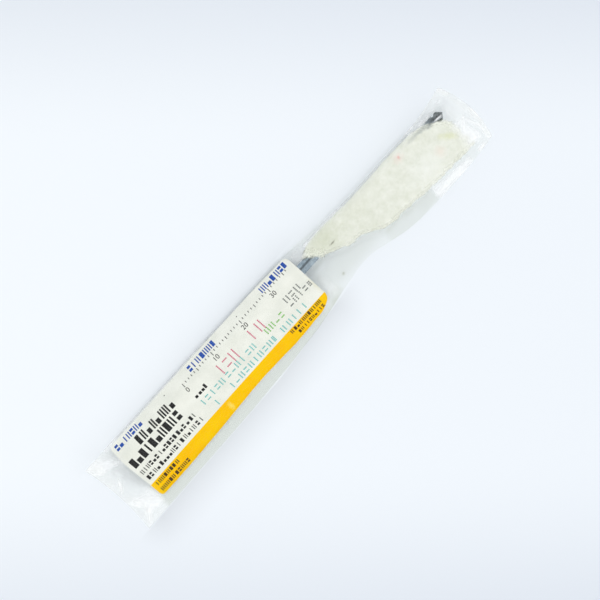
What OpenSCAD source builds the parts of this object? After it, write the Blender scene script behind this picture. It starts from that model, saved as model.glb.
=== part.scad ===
// Surgical spiral drill with a quick-coupling tail, in its clear sleeve.
// The drill lies along X with its point towards +X, wrapped in folded wadding,
// with its coupling under a printed card. The back film lies on the table at Z = 0.

/* [Drill] */
// Diameter of the drill rod
drill_d = 2.7; // [2.5:0.05:2.8]
// Whole length, from the point to the tail of the coupling
drill_len = 110; // [108:0.5:111]
// Length of the rod that stands out of the coupling
working_len = 75; // [60:1:80]
// Length of the spiral flutes, with their run-out
flute_len = 40; // [30:1:43]
// Length along the axis of one full turn of a flute
flute_lead = 21; // [16:0.5:30]
// Thickness of the web between the two flutes
web_t = 0.8; // [0.6:0.05:1]
// Included angle of the point
point_angle = 100; // [85:1:125]

/* [Coupling] */
// Diameter of the coupling
hub_d = 4.5; // [4.2:0.05:4.5]
// Depth of the rod's seat in the coupling
seat_len = 20; // [12:1:24]
// Diameter at the bottom of the latch groove
groove_d = 3.3; // [3:0.1:3.6]
// Width of the latch groove at its bottom
groove_w = 1.8; // [1.2:0.1:2.4]
// Distance from the tail to the middle of the latch groove
groove_x = 9; // [8.5:0.25:10]
// Length of the driving flat
flat_len = 6.5; // [5:0.25:7]
// Depth of the driving flat
flat_depth = 0.9; // [0.6:0.05:1.1]
// Length of the cone at the front of the coupling
nose_len = 3; // [2:0.25:4]

/* [Sleeve] */
// Length of the sleeve
sleeve_len = 124.8; // [124.6:0.1:126]
// Width of the sleeve at its foot
sleeve_w = 20.4; // [20.4:0.1:21]
// Thickness of the clear film
film_t = 0.12; // [0.08:0.01:0.14]
// Width of the weld along each side
side_weld = 0.3; // [0.25:0.05:0.35]
// Height of the puckers in the foot weld
foot_pucker = 1.3; // [0.5:0.1:1.6]
// Height of the puckers in the tip weld
tip_pucker = 1; // [0.4:0.1:1.4]

/* [Card] */
// Length of the printed card
card_len = 61.3; // [58:0.1:61.4]
// Thickness of the card
card_t = 0.25; // [0.2:0.01:0.28]
// Radius of the card's corners
card_corner = 0.9; // [0.4:0.1:1.4]

/* [Wadding] */
// Thickness of one ply of wadding
ply_t = 0.25; // [0.2:0.01:0.27]
// Gap between neighbouring plies
ply_gap = 0.03; // [0.02:0.01:0.04]
// Depth of the tears along a ply's edges
tear = 0.45; // [0.2:0.05:0.6]

/* [Hidden] */
$fn = 64;

// Places along the sleeve, measured from its middle
half_len = sleeve_len / 2;
half_w = sleeve_w / 2;
tip_x = 56.9;
tail_x = tip_x - drill_len;
hub_len = drill_len - working_len;
hub_front_x = tail_x + hub_len;
card_x = -54.5;
slack = 0.1;
// How far the wadding can slide back in the sleeve
wad_slide = 0.8;

// The drill's axis: the coupling rests just clear of the back film
axis_y = 3.8;
axis_z = film_t + slack + hub_d / 2;
drill_r = drill_d / 2;

// Edges of the sleeve, seen from above, as [x, y] along its length
upper_edge = [
    [-half_len, half_w], [-40, 10], [-10, 9.4], [8, 9.1], [16, 8],
    [24, 7.1], [42, 6.9], [52, 7.1], [60, 8.3], [half_len, 8.5]
];
lower_edge = [
    [-half_len, -half_w], [-40, -9.9], [-18, -9.5], [0, -8.4], [7, -7.4],
    [13, -6.4], [20, -5.9], [26, -7.4], [32, -8.9], [42, -9.5], [54, -9.4], [half_len, -8.7]
];
// Lower edges of the card and of the folded wadding
card_edge = [
    [-54.5, -7.35], [-48, -7.4], [-36, -7.15], [-26, -6.75], [-19.5, -6.5],
    [-12, -6.65], [-6, -6.85], [0, -6.6], [4, -6.3], [6.8, -4.9]
];
wad_edge = [
    [8, 2.5], [12.5, 2.2], [15.5, 1.3], [19, -0.7], [22.3, -1.3],
    [25, -2.8], [27.5, -4.4], [34.8, -5.3], [41, -6.1], [56, -6.5]
];
// Front edge of the folded wadding, as [y, x]: it is torn back over the drill's flutes
front_edge = [
    [-7, 56.3], [-3, 55.8], [0, 55.1], [2, 54.2], [3.4, 53.2],
    [4.3, 51.4], [5, 49.4], [5.8, 48], [7, 47.4]
];

function mix(a, b, t) = a + (b - a) * t;
function clamp01(t) = min(1, max(0, t));
function ease(t) = let (u = clamp01(t)) u * u * (3 - 2 * u);
// A repeatable scatter between -1 and 1
function scatter(i) = let (v = sin(i * 127.1 + 31.7) * 437.58) 2 * (v - floor(v)) - 1;

// Smooth curve through the [x, y] points of a table
function knot_slope(tab, i) =
    let (a = max(i - 1, 0), b = min(i + 1, len(tab) - 1))
    (tab[b][1] - tab[a][1]) / (tab[b][0] - tab[a][0]);
function knot_before(tab, x) = max([0, for (i = [0 : len(tab) - 2]) if (tab[i][0] <= x) i]);
function curve(tab, x) =
    let (
        i = knot_before(tab, x), a = tab[i], b = tab[i + 1], w = b[0] - a[0],
        t = clamp01((x - a[0]) / w), t2 = t * t, t3 = t2 * t
    )
    (2 * t3 - 3 * t2 + 1) * a[1] + (t3 - 2 * t2 + t) * w * knot_slope(tab, i)
    + (3 * t2 - 2 * t3) * b[1] + (t3 - t2) * w * knot_slope(tab, i + 1);

// Smooth line through 2D points, with n steps between neighbours
function spline_at(p, i, t) =
    let (
        a = p[max(i - 1, 0)], b = p[i], c = p[i + 1], d = p[min(i + 2, len(p) - 1)]
    )
    0.5 * (2 * b + (c - a) * t + (2 * a - 5 * b + 4 * c - d) * t * t
        + (3 * b - a - 3 * c + d) * t * t * t);
function spline(p, n) = [
    for (i = [0 : len(p) - 2], k = [0 : n - 1]) spline_at(p, i, k / n),
    p[len(p) - 1]
];
// Unit vector square to a line at its point i, to the left of its run
function left_of(p, i) =
    let (
        v = p[min(i + 1, len(p) - 1)] - p[max(i - 1, 0)],
        l = max(norm(v), 0.0001)
    )
    [-v[1], v[0]] / l;
function shifted(p, d) = [for (i = [0 : len(p) - 1]) p[i] + d * left_of(p, i)];
function reversed(p) = [for (i = [len(p) - 1 : -1 : 0]) p[i]];
// Closed outline of a sheet that follows a line, between two offsets from it
function band(p, low, high) = concat(shifted(p, high), reversed(shifted(p, low)));

// Moves a profile drawn in Y and Z so that it runs along X
module along_x(x, length) {
    translate([x, 0, 0]) rotate([90, 0, 90]) linear_extrude(length) children();
}

// The fluted section turns through a land, its raised margin and a flute, twice a turn.
// The margin stands a little proud of the land, and the flute is steepest behind the lip.
land_end = 72;
margin_end = 85;
half_turn = [
    0, 14, 28, 42, 57, land_end, land_end + 1, margin_end, margin_end + 1, 89, 93, 98, 105, 114,
    124, 134, 145, 156, 167
];
section_angles = concat(half_turn, [for (a = half_turn) a + 180]);
land_r = 0.955 * drill_r;
lip_relief = 0.22;
// Turn of the drill about its axis as it lies
point_turn = 62;

function flute_dip(u) = pow(sin(180 * pow(u, 0.62)), 0.8);
function section_r(a) =
    let (h = a % 180, u = (h - margin_end) / (180 - margin_end))
    h <= land_end ? land_r
    : h <= margin_end ? drill_r
    : mix(land_r, web_t / 2, flute_dip(u));
// How far the point falls away behind each cutting lip
function relief(a) = let (h = a % 180) h > margin_end ? 0 : lip_relief * (1 - h / margin_end);
function point_z(a, r) = -r / tan(point_angle / 2) - relief(a) * r / drill_r;
function spun(r, a, z) = let (turn = a + 360 * z / flute_lead) [r * cos(turn), r * sin(turn), z];

// The fluted end, with its point at the origin and its body towards -Z.
// It starts inside the shank by the overlap, and the flutes deepen over the run-out.
module fluted_end(length, runout, overlap, rings) {
    cap = [1, 0.8, 0.6, 0.4, 0.2];
    n = len(section_angles);
    core_r = 0.97 * drill_r;
    function body_r(a, z) = mix(core_r, section_r(a), ease((z + length - overlap) / runout));
    side = [
        for (k = [0 : rings], a = section_angles)
            let (z = mix(-length, point_z(a, section_r(a)), k / rings))
            spun(body_r(a, z), a, z)
    ];
    nose = [
        for (s = [1 : len(cap) - 1], a = section_angles)
            let (r = section_r(a), p = spun(r * cap[s], a, point_z(a, r)))
            [p[0], p[1], point_z(a, r * cap[s])]
    ];
    last = rings + len(cap) - 1;
    top = len(side) + len(nose);
    polyhedron(
        points = concat(side, nose, [[0, 0, 0], [0, 0, -length]]),
        faces = concat(
            [for (k = [0 : last - 1], i = [0 : n - 1]) let (j = (i + 1) % n)
                [k * n + i, (k + 1) * n + i, k * n + j]],
            [for (k = [0 : last - 1], i = [0 : n - 1]) let (j = (i + 1) % n)
                [k * n + j, (k + 1) * n + i, (k + 1) * n + j]],
            [for (i = [0 : n - 1]) [last * n + i, top, last * n + (i + 1) % n]],
            [for (i = [0 : n - 1]) [(i + 1) % n, top + 1, i]]
        )
    );
}

// One ground steel rod: point, flutes, plain shank and the tail seated in the coupling
module drill_rod() {
    overlap = 1;
    shank_back = hub_front_x - seat_len;
    shank_len = tip_x - flute_len + overlap - shank_back;
    color("slategray") translate([0, axis_y, axis_z]) {
        translate([tip_x, 0, 0]) rotate([0, 90, 0]) rotate(point_turn)
            fluted_end(flute_len, 6, overlap, 52);
        translate([shank_back, 0, 0]) rotate([0, 90, 0]) cylinder(r = drill_r, h = shank_len);
    }
}

// The turned coupling, pressed on the rod: driving flat, latch groove, body and nose cone
module coupling_hub() {
    hub_r = hub_d / 2;
    groove_r = groove_d / 2;
    chamfer = 0.35;
    flank = hub_r - groove_r;
    groove_back = groove_x - groove_w / 2;
    groove_front = groove_x + groove_w / 2;
    nose_r = drill_r + 0.25;
    color("silver") translate([tail_x, axis_y, axis_z]) rotate([0, 90, 0]) difference() {
        rotate_extrude() polygon([
            [0, 0], [hub_r - chamfer, 0], [hub_r, chamfer],
            [hub_r, groove_back - flank], [groove_r, groove_back],
            [groove_r, groove_front], [hub_r, groove_front + flank],
            [hub_r, hub_len - nose_len], [nose_r, hub_len], [0, hub_len]
        ]);
        translate([0, 0, hub_len - seat_len]) cylinder(r = drill_r, h = seat_len + 1);
        translate([hub_r - flat_depth, -hub_d, -1]) cube([hub_d, 2 * hub_d, flat_len + 1]);
    }
}

// The card's section: flat along its coloured edge, then over the coupling to its plain edge
card_line = [
    [-8.2, 0.36], [-6.4, 0.42], [-5, 0.62], [-3.6, 1.08], [-2, 1.92], [0.4, 3.42], [2.3, 4.56],
    [axis_y, axis_z + hub_d / 2 + slack + card_t / 2],
    [5.3, 4.6], [7, 3.3], [8.6, 1.75], [10, 0.4]
];

// Seen from above, the card's coloured edge is a little wavy, and it narrows towards the wadding
module card_outline() {
    r = card_corner;
    front = card_x + card_len;
    steps = 20;
    offset(r) offset(-r) polygon(concat(
        [for (i = [0 : steps]) let (x = mix(card_x, front, i / steps)) [x, curve(card_edge, x)]],
        [[front, 8.35], [card_x, 9.4]]
    ));
}

module card() {
    color("ivory") intersection() {
        along_x(card_x - 1, card_len + 2) polygon(band(spline(card_line, 5), -card_t / 2, card_t / 2));
        linear_extrude(2 * hub_d) card_outline();
    }
}

// Middle of the innermost ply: under the drill, round it on the +Y side, over it and down to the edge
wad_r = drill_r + slack + ply_t / 2;
flap_z = axis_z - wad_r + ply_t + 2 * ply_gap;
flap_y = -8;
wad_line = concat(
    [for (y = [flap_y : 2 : 2]) [y, axis_z - wad_r]],
    [for (a = [-90 : 15 : 105]) [axis_y + wad_r * cos(a), axis_z + wad_r * sin(a)]],
    spline([
        [2.6, 3.74], [1.2, 3.12], [-0.6, 2.38], [-2.6, 1.74], [-4.6, 1.34],
        [-6.4, flap_z + 0.02], [flap_y, flap_z]
    ], 3)
);

// Torn outline of a ply, seen from above. Its back edge starts at x0 on the folded side and is cut
// back as skewed, its front edge lies ahead of the wadding's, and its lower edge reaches past it.
module torn_outline(x0, back_skew, ahead, reach, seed) {
    steps = 20;
    fold_y = 7;
    edge_x = x0 + back_skew;
    x1 = front_edge[0][1] + ahead;
    lower = [
        for (i = [0 : steps]) let (x = mix(edge_x, x1, i / steps))
            [x, curve(wad_edge, x) - reach + tear * scatter(seed + i)]
    ];
    front = [
        for (i = [1 : 11]) let (y = mix(lower[steps][1], fold_y, i / 12))
            [curve(front_edge, y) + ahead + tear * scatter(seed + 40 + i), y]
    ];
    back = [
        for (i = [5 : -1 : 1]) let (x = mix(edge_x, x0, ease(i / 4)))
            [x - tear * scatter(seed + 60 + i) / 2, mix(lower[0][1], fold_y, i / 6)]
    ];
    polygon(concat(lower, front, [[curve(front_edge, fold_y) + ahead, fold_y], [x0, fold_y]], back));
}

// One folded ply: level 0 lies against the drill, and the others are wrapped round it
module ply(level, x0, back_skew, ahead, reach, seed) {
    step = level * (ply_t + ply_gap);
    intersection() {
        along_x(x0 - 2, half_len - x0) polygon(band(wad_line, -step - ply_t / 2, -step + ply_t / 2));
        linear_extrude(2 * hub_d) torn_outline(x0, back_skew, ahead, reach, seed);
    }
}

module wadding_inner_ply() {
    color("beige") ply(0, 8.9, 3.2, 0.5, 0.25, 3);
}

module wadding_middle_ply() {
    color("cornsilk") ply(1, 10.1, 2.8, 0.2, 0, 17);
}

module wadding_outer_ply() {
    color("linen") ply(2, 11.4, 2.6, -0.5, -0.25, 29);
}

// Height of the film just outside the card's plain edge, which lies lower where the sleeve is wide
function card_wall(hi) = 2.4 - (hi - 9.1);
// Inner face of the front film where it lies over the card, from edge lo to edge hi:
// each point is [y, height above the back film]
function film_over_card(lo, hi) = [
    [lo, 0], [lo + side_weld, 0], [max(-7.75, lo + 0.65), 0.44], [-6, 0.68], [-4.5, 0.96], [-3.3, 1.46],
    [-2, 2.14], [0.4, 3.68], [2.2, 4.83], [axis_y, 5.22], [5.45, 4.85], [7.2, 3.55],
    [hi - 0.75, card_wall(hi)], [hi - 0.42, card_wall(hi) / 2], [hi - side_weld, 0], [hi, 0]
];
// Height of the film over the wadding, across it
wad_film = [
    [-8, 1.85], [-6.4, 1.98], [-4.6, 2.22], [-2.6, 2.65], [-0.6, 3.3],
    [1.2, 4.05], [2.5, 4.7], [axis_y, 4.95]
];
// The same where it lies over the wadding, and reaches past its lower edge, which slides and is torn
function film_over_wad(lo, hi, edge) =
    let (on_y = edge - tear - 0.1, flat_y = max(edge - 2.1, lo + 0.7))
    [
        [lo, 0], [lo + side_weld, 0], [mix(lo + side_weld, flat_y, 0.6), 0.16], [flat_y, 0.42],
        [mix(flat_y, on_y, 0.55), 0.5 * curve(wad_film, on_y)], [on_y, curve(wad_film, on_y)],
        for (k = [1 : 3]) let (y = mix(on_y, axis_y, k / 4)) [y, curve(wad_film, y)],
        [axis_y, 4.95], [5.35, 4.5], [6.2, 3.35],
        [6.35, 2.3], [mix(6.4, hi - side_weld, 0.6), 1], [hi - side_weld, 0], [hi, 0]
    ];

// Lengths of the two end welds, and the places along the sleeve where its section is drawn
foot_weld = 2.8;
tip_weld = 1.4;
foot_end = foot_weld - half_len;
tip_start = half_len - tip_weld;
foot_stations = [for (i = [0 : 4]) mix(-half_len, foot_end, i / 4)];
tip_stations = [for (i = [0 : 3]) mix(tip_start, half_len, i / 3)];
pocket_stations = concat(
    [for (i = [0 : 5]) mix(foot_end, -56.2, i / 5)],
    [-55, -40, -25, -12, 0, 6, 8.2, 9.5, 11, 13, 15, 18, 21, 24, 27, 30, 34, 39, 44, 49, 53, 56],
    [for (i = [0 : 4]) mix(58.4, tip_start, i / 4)]
);
stations = concat(
    [for (i = [0 : 3]) foot_stations[i]], pocket_stations, [for (i = [1 : 3]) tip_stations[i]]
);

// How far the sleeve is open, from 0 in the end welds to 1 over the contents
function opened(x) = ease((x - foot_end) / 3.4) * ease((tip_start - x) / 2.6);
// Height of the puckers, which stay within the end welds
function pucker(x, y) =
    foot_pucker * ease((foot_end - x) / foot_weld) * (1 + cos(70 * y + 40)) / 2
    + tip_pucker * ease((x - tip_start) / tip_weld) * (1 + cos(85 * y - 30)) / 2;
// The foot weld is drawn in between its corners, and the tip weld's corners are cut back
function drawn_x(x, y) =
    x + 0.9 * ease((-58 - x) / 4) * (1 - pow(y / half_w, 2))
    - 1.8 * ease((x - 58) / 4) * pow(abs(y + 0.2) / 9, 2);
function film_point(x, y, z) = [drawn_x(x, y), y, pucker(x, y) + z];

// The films' sections at a station, fully open over the contents, flat, and as they are there
function film_section(x) =
    let (
        lo = curve(lower_edge, x), hi = curve(upper_edge, x), edge = curve(wad_edge, x + wad_slide),
        over_card = film_over_card(lo, hi), over_wad = film_over_wad(lo, hi, edge),
        t = ease((x - 7.9) / 5)
    )
    spline([for (i = [0 : len(over_card) - 1]) mix(over_card[i], over_wad[i], t)], 2);
function flat_section(x) =
    let (lo = curve(lower_edge, x), hi = curve(upper_edge, x), n = len(film_section(x)) - 1)
    [for (i = [0 : n]) [mix(lo, hi, i / n), 0]];
function raised_section(x) =
    let (flat = flat_section(x), full = film_section(x), t = opened(x))
    [for (i = [0 : len(flat) - 1]) [mix(flat[i][0], full[i][0], t), max(0, full[i][1]) * t]];

// A closed sheet between two grids of points, each a list of rows of equal length
module sheet(low, high) {
    rows = len(low);
    cols = len(low[0]);
    n = rows * cols;
    function id(i, j) = i * cols + j;
    polyhedron(
        points = concat([for (r = low, p = r) p], [for (r = high, p = r) p]),
        faces = concat(
            [for (i = [0 : rows - 2], j = [0 : cols - 2]) [id(i, j), id(i + 1, j), id(i + 1, j + 1)]],
            [for (i = [0 : rows - 2], j = [0 : cols - 2]) [id(i, j), id(i + 1, j + 1), id(i, j + 1)]],
            [for (i = [0 : rows - 2], j = [0 : cols - 2])
                [n + id(i, j), n + id(i + 1, j + 1), n + id(i + 1, j)]],
            [for (i = [0 : rows - 2], j = [0 : cols - 2])
                [n + id(i, j), n + id(i, j + 1), n + id(i + 1, j + 1)]],
            [for (i = [0 : rows - 2]) [id(i, 0), n + id(i, 0), n + id(i + 1, 0), id(i + 1, 0)]],
            [for (i = [0 : rows - 2])
                [id(i + 1, cols - 1), n + id(i + 1, cols - 1), n + id(i, cols - 1), id(i, cols - 1)]],
            [for (j = [0 : cols - 2]) [id(0, j + 1), n + id(0, j + 1), n + id(0, j), id(0, j)]],
            [for (j = [0 : cols - 2])
                [id(rows - 1, j), n + id(rows - 1, j), n + id(rows - 1, j + 1), id(rows - 1, j + 1)]]
        )
    );
}

// One puckered end of the back film
module back_end(xs) {
    sheet(
        [for (x = xs) [for (p = flat_section(x)) film_point(x, p[0], 0)]],
        [for (x = xs) [for (p = flat_section(x)) film_point(x, p[0], film_t)]]
    );
}

// The pocket's outline, seen from above, through the first and last points of each station
function pocket_outline() =
    let (rows = [for (x = pocket_stations) [for (p = flat_section(x)) [drawn_x(x, p[0]), p[0]]]],
        last = len(rows) - 1, end = len(rows[0]) - 1)
    concat(
        rows[0], [for (i = [1 : last - 1]) rows[i][end]],
        reversed(rows[last]), [for (i = [last - 1 : -1 : 1]) rows[i][0]]
    );

module back_film() {
    color("azure") {
        linear_extrude(film_t) polygon(pocket_outline());
        back_end(foot_stations);
        back_end(tip_stations);
    }
}

module front_film() {
    color("azure") sheet(
        [for (x = stations) [for (p = raised_section(x)) film_point(x, p[0], film_t + p[1])]],
        [for (x = stations)
            [for (p = shifted(raised_section(x), film_t)) film_point(x, p[0], film_t + p[1])]]
    );
}

drill_rod();
coupling_hub();
card();
wadding_inner_ply();
wadding_middle_ply();
wadding_outer_ply();
back_film();
front_film();
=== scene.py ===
import math

import bpy
import numpy as np
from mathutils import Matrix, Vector, geometry
from mathutils.bvhtree import BVHTree


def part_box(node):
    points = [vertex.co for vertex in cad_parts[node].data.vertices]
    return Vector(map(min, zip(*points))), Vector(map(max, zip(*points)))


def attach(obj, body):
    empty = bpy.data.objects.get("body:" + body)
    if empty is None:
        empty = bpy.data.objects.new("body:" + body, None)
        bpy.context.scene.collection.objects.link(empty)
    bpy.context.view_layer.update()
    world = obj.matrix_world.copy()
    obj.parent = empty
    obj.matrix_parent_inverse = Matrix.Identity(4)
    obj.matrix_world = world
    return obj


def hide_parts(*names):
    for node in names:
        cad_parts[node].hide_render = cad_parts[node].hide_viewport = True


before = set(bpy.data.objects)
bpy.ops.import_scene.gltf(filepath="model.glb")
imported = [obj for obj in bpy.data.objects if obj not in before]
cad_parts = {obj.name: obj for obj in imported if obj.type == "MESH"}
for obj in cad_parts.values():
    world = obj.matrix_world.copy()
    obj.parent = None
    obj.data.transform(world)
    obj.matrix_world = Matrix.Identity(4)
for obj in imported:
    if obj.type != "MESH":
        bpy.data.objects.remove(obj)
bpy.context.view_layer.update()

# Surgical drill bit in its clear sleeve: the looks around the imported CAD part.
# Lengths here are in millimetres, and makeMesh turns them into Blender's metres.
mm = 0.001
scene = bpy.context.scene


def addObject(name, data):
    thing = bpy.data.objects.new(name, data)
    scene.collection.objects.link(thing)
    return thing


# Camera, straight above, turned so that the sleeve lies slantwise as in the photo
cameraSettings = dict(turn=-48.2, height=550, frameWidth=141.2, lookAt=(1.57, -0.74), sensor=36, focusZ=2.5)


def makeCamera(s):
    data = bpy.data.cameras.new("camera")
    camera = addObject("camera", data)
    camera.location = (s["lookAt"][0] * mm, s["lookAt"][1] * mm, s["height"] * mm)
    camera.rotation_euler = (0, 0, math.radians(s["turn"]))
    data.sensor_width = s["sensor"]
    data.lens = s["sensor"] * (s["height"] - s["focusZ"]) / s["frameWidth"]
    data.clip_start = 0.01
    data.clip_end = 10
    scene.camera = camera


makeCamera(cameraSettings)
scene.view_settings.view_transform = "Standard"
# Light passes the film and the fading edges of three folded plies, down to the floor and up again
scene.cycles.transparent_max_bounces = 64
print("stage: camera")


# Small helpers for node trees
def newMaterial(name):
    material = bpy.data.materials.new(name)
    material.use_nodes = True
    material.node_tree.nodes.clear()
    return material, material.node_tree


def addNode(tree, kind, inputs=None, **settings):
    node = tree.nodes.new("ShaderNode" + kind)
    for key, value in settings.items():
        setattr(node, key, value)
    for key, value in (inputs or {}).items():
        if isinstance(value, bpy.types.NodeSocket):
            tree.links.new(value, node.inputs[key])
        else:
            node.inputs[key].default_value = value
    return node


def doMath(tree, operation, *values, clamp=False):
    return addNode(tree, "Math", dict(enumerate(values)), operation=operation, use_clamp=clamp).outputs[0]


def doVector(tree, operation, *values):
    node = addNode(tree, "VectorMath", dict(enumerate(values)), operation=operation)
    return node.outputs["Value" if operation in ("DOT_PRODUCT", "LENGTH") else "Vector"]


# Maps a value from one range to another, and holds it at both ends
def mapRange(tree, value, before, after=(0.0, 1.0), kind="LINEAR"):
    labels = ("Value", "From Min", "From Max", "To Min", "To Max")
    inputs = dict(zip(labels, (value, *before, *after)))
    return addNode(tree, "MapRange", inputs, interpolation_type=kind).outputs[0]


def mixColors(tree, share, colorA, colorB, **settings):
    return addNode(tree, "Mix", {0: share, 6: colorA, 7: colorB}, data_type="RGBA", **settings).outputs[2]


def mixValues(tree, share, valueA, valueB):
    return addNode(tree, "Mix", {0: share, 2: valueA, 3: valueB}, data_type="FLOAT").outputs[0]


def ownPlace(tree):
    return addNode(tree, "TexCoord").outputs["Object"]


def noiseOver(tree, place, scale, detail, **more):
    inputs = {"Vector": place, "Scale": scale, "Detail": detail, **more}
    return addNode(tree, "TexNoise", inputs).outputs["Fac"]


def bumpFrom(tree, height, strength, distance):
    inputs = {"Height": height, "Strength": strength, "Distance": distance * mm}
    return addNode(tree, "Bump", inputs).outputs[0]


# How far a value lies outside a range, and 0 inside it
def outside(tree, value, low, high):
    before, past = doMath(tree, "SUBTRACT", low, value), doMath(tree, "SUBTRACT", value, high)
    return doMath(tree, "MAXIMUM", doMath(tree, "MAXIMUM", before, past), 0.0)


def closeTree(tree, shader, kind="OutputMaterial"):
    tree.links.new(shader.outputs[0], addNode(tree, kind).inputs["Surface"])


# sRGB values from 0 to 255, as Blender's linear colour
def rgb(red, green, blue):
    out = []
    for v in (red, green, blue):
        c = v / 255
        out.append(c / 12.92 if c <= 0.04045 else ((c + 0.055) / 1.055) ** 2.4)
    return (*out, 1)


# Floor, lamps and room. The room is even all round with a dimmer patch nearly overhead, and three
# small softboxes stand off the sleeve's own direction, so that only its crumpled ends glint.
stageSettings = dict(
    floorSize=1600, floorDrop=0.06, floorTurn=48.2,
    floorMiddle=(0.886, 0.920, 0.962, 1), floorFar=(0.712, 0.752, 0.820, 1),
    fadeFrom=35, fadeTo=95, slant=0.224, slantReach=100,
    # Painted soft shadow beside the sleeve: between which stations it is full, the sleeve's upper edge, and
    # its lower edge as two lines (y at x = 0, slope)
    haloEnds=(-58, 6), haloUpper=9.9, haloLower=((-9.2, 0.0145), (-8.05, 0.09)),
    # How far it reaches, over what it begins, how it falls off, and its depth on the lower and upper side
    haloReach=9, haloBegins=0.4, haloFall=1.5, haloSides=8, haloDepth=(0.17, 0.05), haloColor=(0, 0, 0, 1),
    softboxes=[
        dict(name="softbox_front", azimuth=-38, elevation=48, size=(220, 160)),
        dict(name="softbox_left", azimuth=205, elevation=50, size=(220, 160)),
        dict(name="softbox_back", azimuth=42, elevation=54, size=(160, 120)),
    ],
    lampDistance=620, lampRadiance=4.2,
    roomFar=1.04, roomNear=0.8, roomSides=0.9, roomTint=(0.97, 0.99, 1.0, 1),
    dimLevel=0.3, dimToward=(0, 0.24, 0.97), dimFrom=0.84, dimTo=0.97,
)


# The floor's colour is palest along a wide band and a little deeper in tone on both sides of it and towards
# one end, as painted light falloff, and it has a painted soft shadow close beside the sleeve
def floorMaterial(s):
    material, tree = newMaterial("floor_pale")
    place = ownPlace(tree)
    turn = math.radians(s["floorTurn"])
    away = doVector(tree, "DOT_PRODUCT", place, (math.sin(turn), math.cos(turn), 0))
    along = doVector(tree, "DOT_PRODUCT", place, (math.cos(turn), -math.sin(turn), 0))
    off = doMath(tree, "ABSOLUTE", away)
    fade = mapRange(tree, off, (s["fadeFrom"] * mm, s["fadeTo"] * mm), kind="SMOOTHSTEP")
    reach = s["slantReach"] * mm
    lean = mapRange(tree, along, (-reach, reach), (-s["slant"], s["slant"]))
    slanted = doMath(tree, "ADD", lean, fade)
    tone = mixColors(tree, slanted, s["floorMiddle"], s["floorFar"], clamp_factor=False)

    # Painted soft shadow: darkest at the sleeve's edges and fading with distance from them
    split = addNode(tree, "SeparateXYZ", {0: place})
    x, y = split.outputs["X"], split.outputs["Y"]
    lines = [doMath(tree, "MULTIPLY_ADD", x, slope, foot * mm) for foot, slope in s["haloLower"]]
    outX = outside(tree, x, *(v * mm for v in s["haloEnds"]))
    outY = outside(tree, y, doMath(tree, "MAXIMUM", *lines), s["haloUpper"] * mm)
    squares = [doMath(tree, "POWER", out, 2.0) for out in (outX, outY)]
    out = doMath(tree, "SQRT", doMath(tree, "ADD", *squares))
    fading = doMath(tree, "POWER", mapRange(tree, out, (0.0, s["haloReach"] * mm), (1.0, 0.0)), s["haloFall"])
    begins = mapRange(tree, outY, (0.0, s["haloBegins"] * mm))
    depth = mapRange(tree, y, (-s["haloSides"] * mm, s["haloSides"] * mm), s["haloDepth"])
    paintedShadow = doMath(tree, "MULTIPLY", fading, doMath(tree, "MULTIPLY", begins, depth))
    shaded = mixColors(tree, paintedShadow, tone, s["haloColor"])
    closeTree(tree, addNode(tree, "BsdfPrincipled", {
        "Base Color": shaded, "Roughness": 0.9, "Specular IOR Level": 0.1}))
    return material


def makeStage(s):
    half = s["floorSize"] / 2 * mm
    z = -s["floorDrop"] * mm
    floorMesh = bpy.data.meshes.new("floor")
    corners = [(-half, -half, z), (half, -half, z), (half, half, z), (-half, half, z)]
    floorMesh.from_pydata(corners, [], [(0, 1, 2, 3)])
    floor = addObject("floor", floorMesh)
    floorMesh.materials.append(floorMaterial(s))

    for box in s["softboxes"]:
        lamp = bpy.data.lights.new(box["name"], "AREA")
        lamp.shape = "RECTANGLE"
        lamp.size, lamp.size_y = box["size"][0] * mm, box["size"][1] * mm
        lamp.energy = math.pi * lamp.size * lamp.size_y * s["lampRadiance"]
        stand = addObject(box["name"], lamp)
        azimuth, elevation = math.radians(box["azimuth"]), math.radians(box["elevation"])
        level = math.cos(elevation)
        toward = Vector((math.cos(azimuth) * level, math.sin(azimuth) * level, math.sin(elevation)))
        stand.location = toward * s["lampDistance"] * mm
        stand.rotation_euler = (-stand.location).to_track_quat("-Z", "Y").to_euler()

    world = bpy.data.worlds.new("studio")
    scene.world = world
    world.use_nodes = True
    tree = world.node_tree
    tree.nodes.clear()
    sky = addNode(tree, "TexCoord").outputs["Generated"]
    overhead = doVector(tree, "DOT_PRODUCT", sky, s["dimToward"])
    around = mapRange(tree, overhead, (s["dimFrom"], s["dimTo"]), (1.0, 0.0))
    across = addNode(tree, "SeparateXYZ", {0: sky}).outputs["Y"]
    side = mapRange(tree, across, (s["roomSides"], -s["roomSides"]), (s["roomFar"], s["roomNear"]))
    level = mixValues(tree, around, s["dimLevel"], side)
    closeTree(tree, addNode(tree, "Background", {"Color": s["roomTint"], "Strength": level}), "OutputWorld")


makeStage(stageSettings)
print("stage: floor and light")


# Shared shader groups: they put out colours, masks and heights only
def newGroup(name, inputs, outputs):
    group = bpy.data.node_groups.new(name, "ShaderNodeTree")
    for labels, way in ((inputs, "INPUT"), (outputs, "OUTPUT")):
        for label, kind in labels.items():
            group.interface.new_socket(label, in_out=way, socket_type="NodeSocket" + kind)
    return group, group.nodes.new("NodeGroupInput").outputs, group.nodes.new("NodeGroupOutput").inputs


# Two colours mixed by soft blotches and a finer speckle
def makeMottle():
    inputs = {"Color A": "Color", "Color B": "Color", "Blotch Scale": "Float", "Speckle Scale": "Float",
              "Speckle Share": "Float"}
    group, given, wanted = newGroup("mottle", inputs, {"Color": "Color"})
    place = ownPlace(group)
    blotch = noiseOver(group, place, given["Blotch Scale"], detail=3.0)
    speckle = noiseOver(group, place, given["Speckle Scale"], detail=2.0)
    mask = mapRange(group, mixValues(group, given["Speckle Share"], blotch, speckle), (0.36, 0.64))
    group.links.new(mixColors(group, mask, given["Color A"], given["Color B"]), wanted["Color"])
    return group


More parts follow.
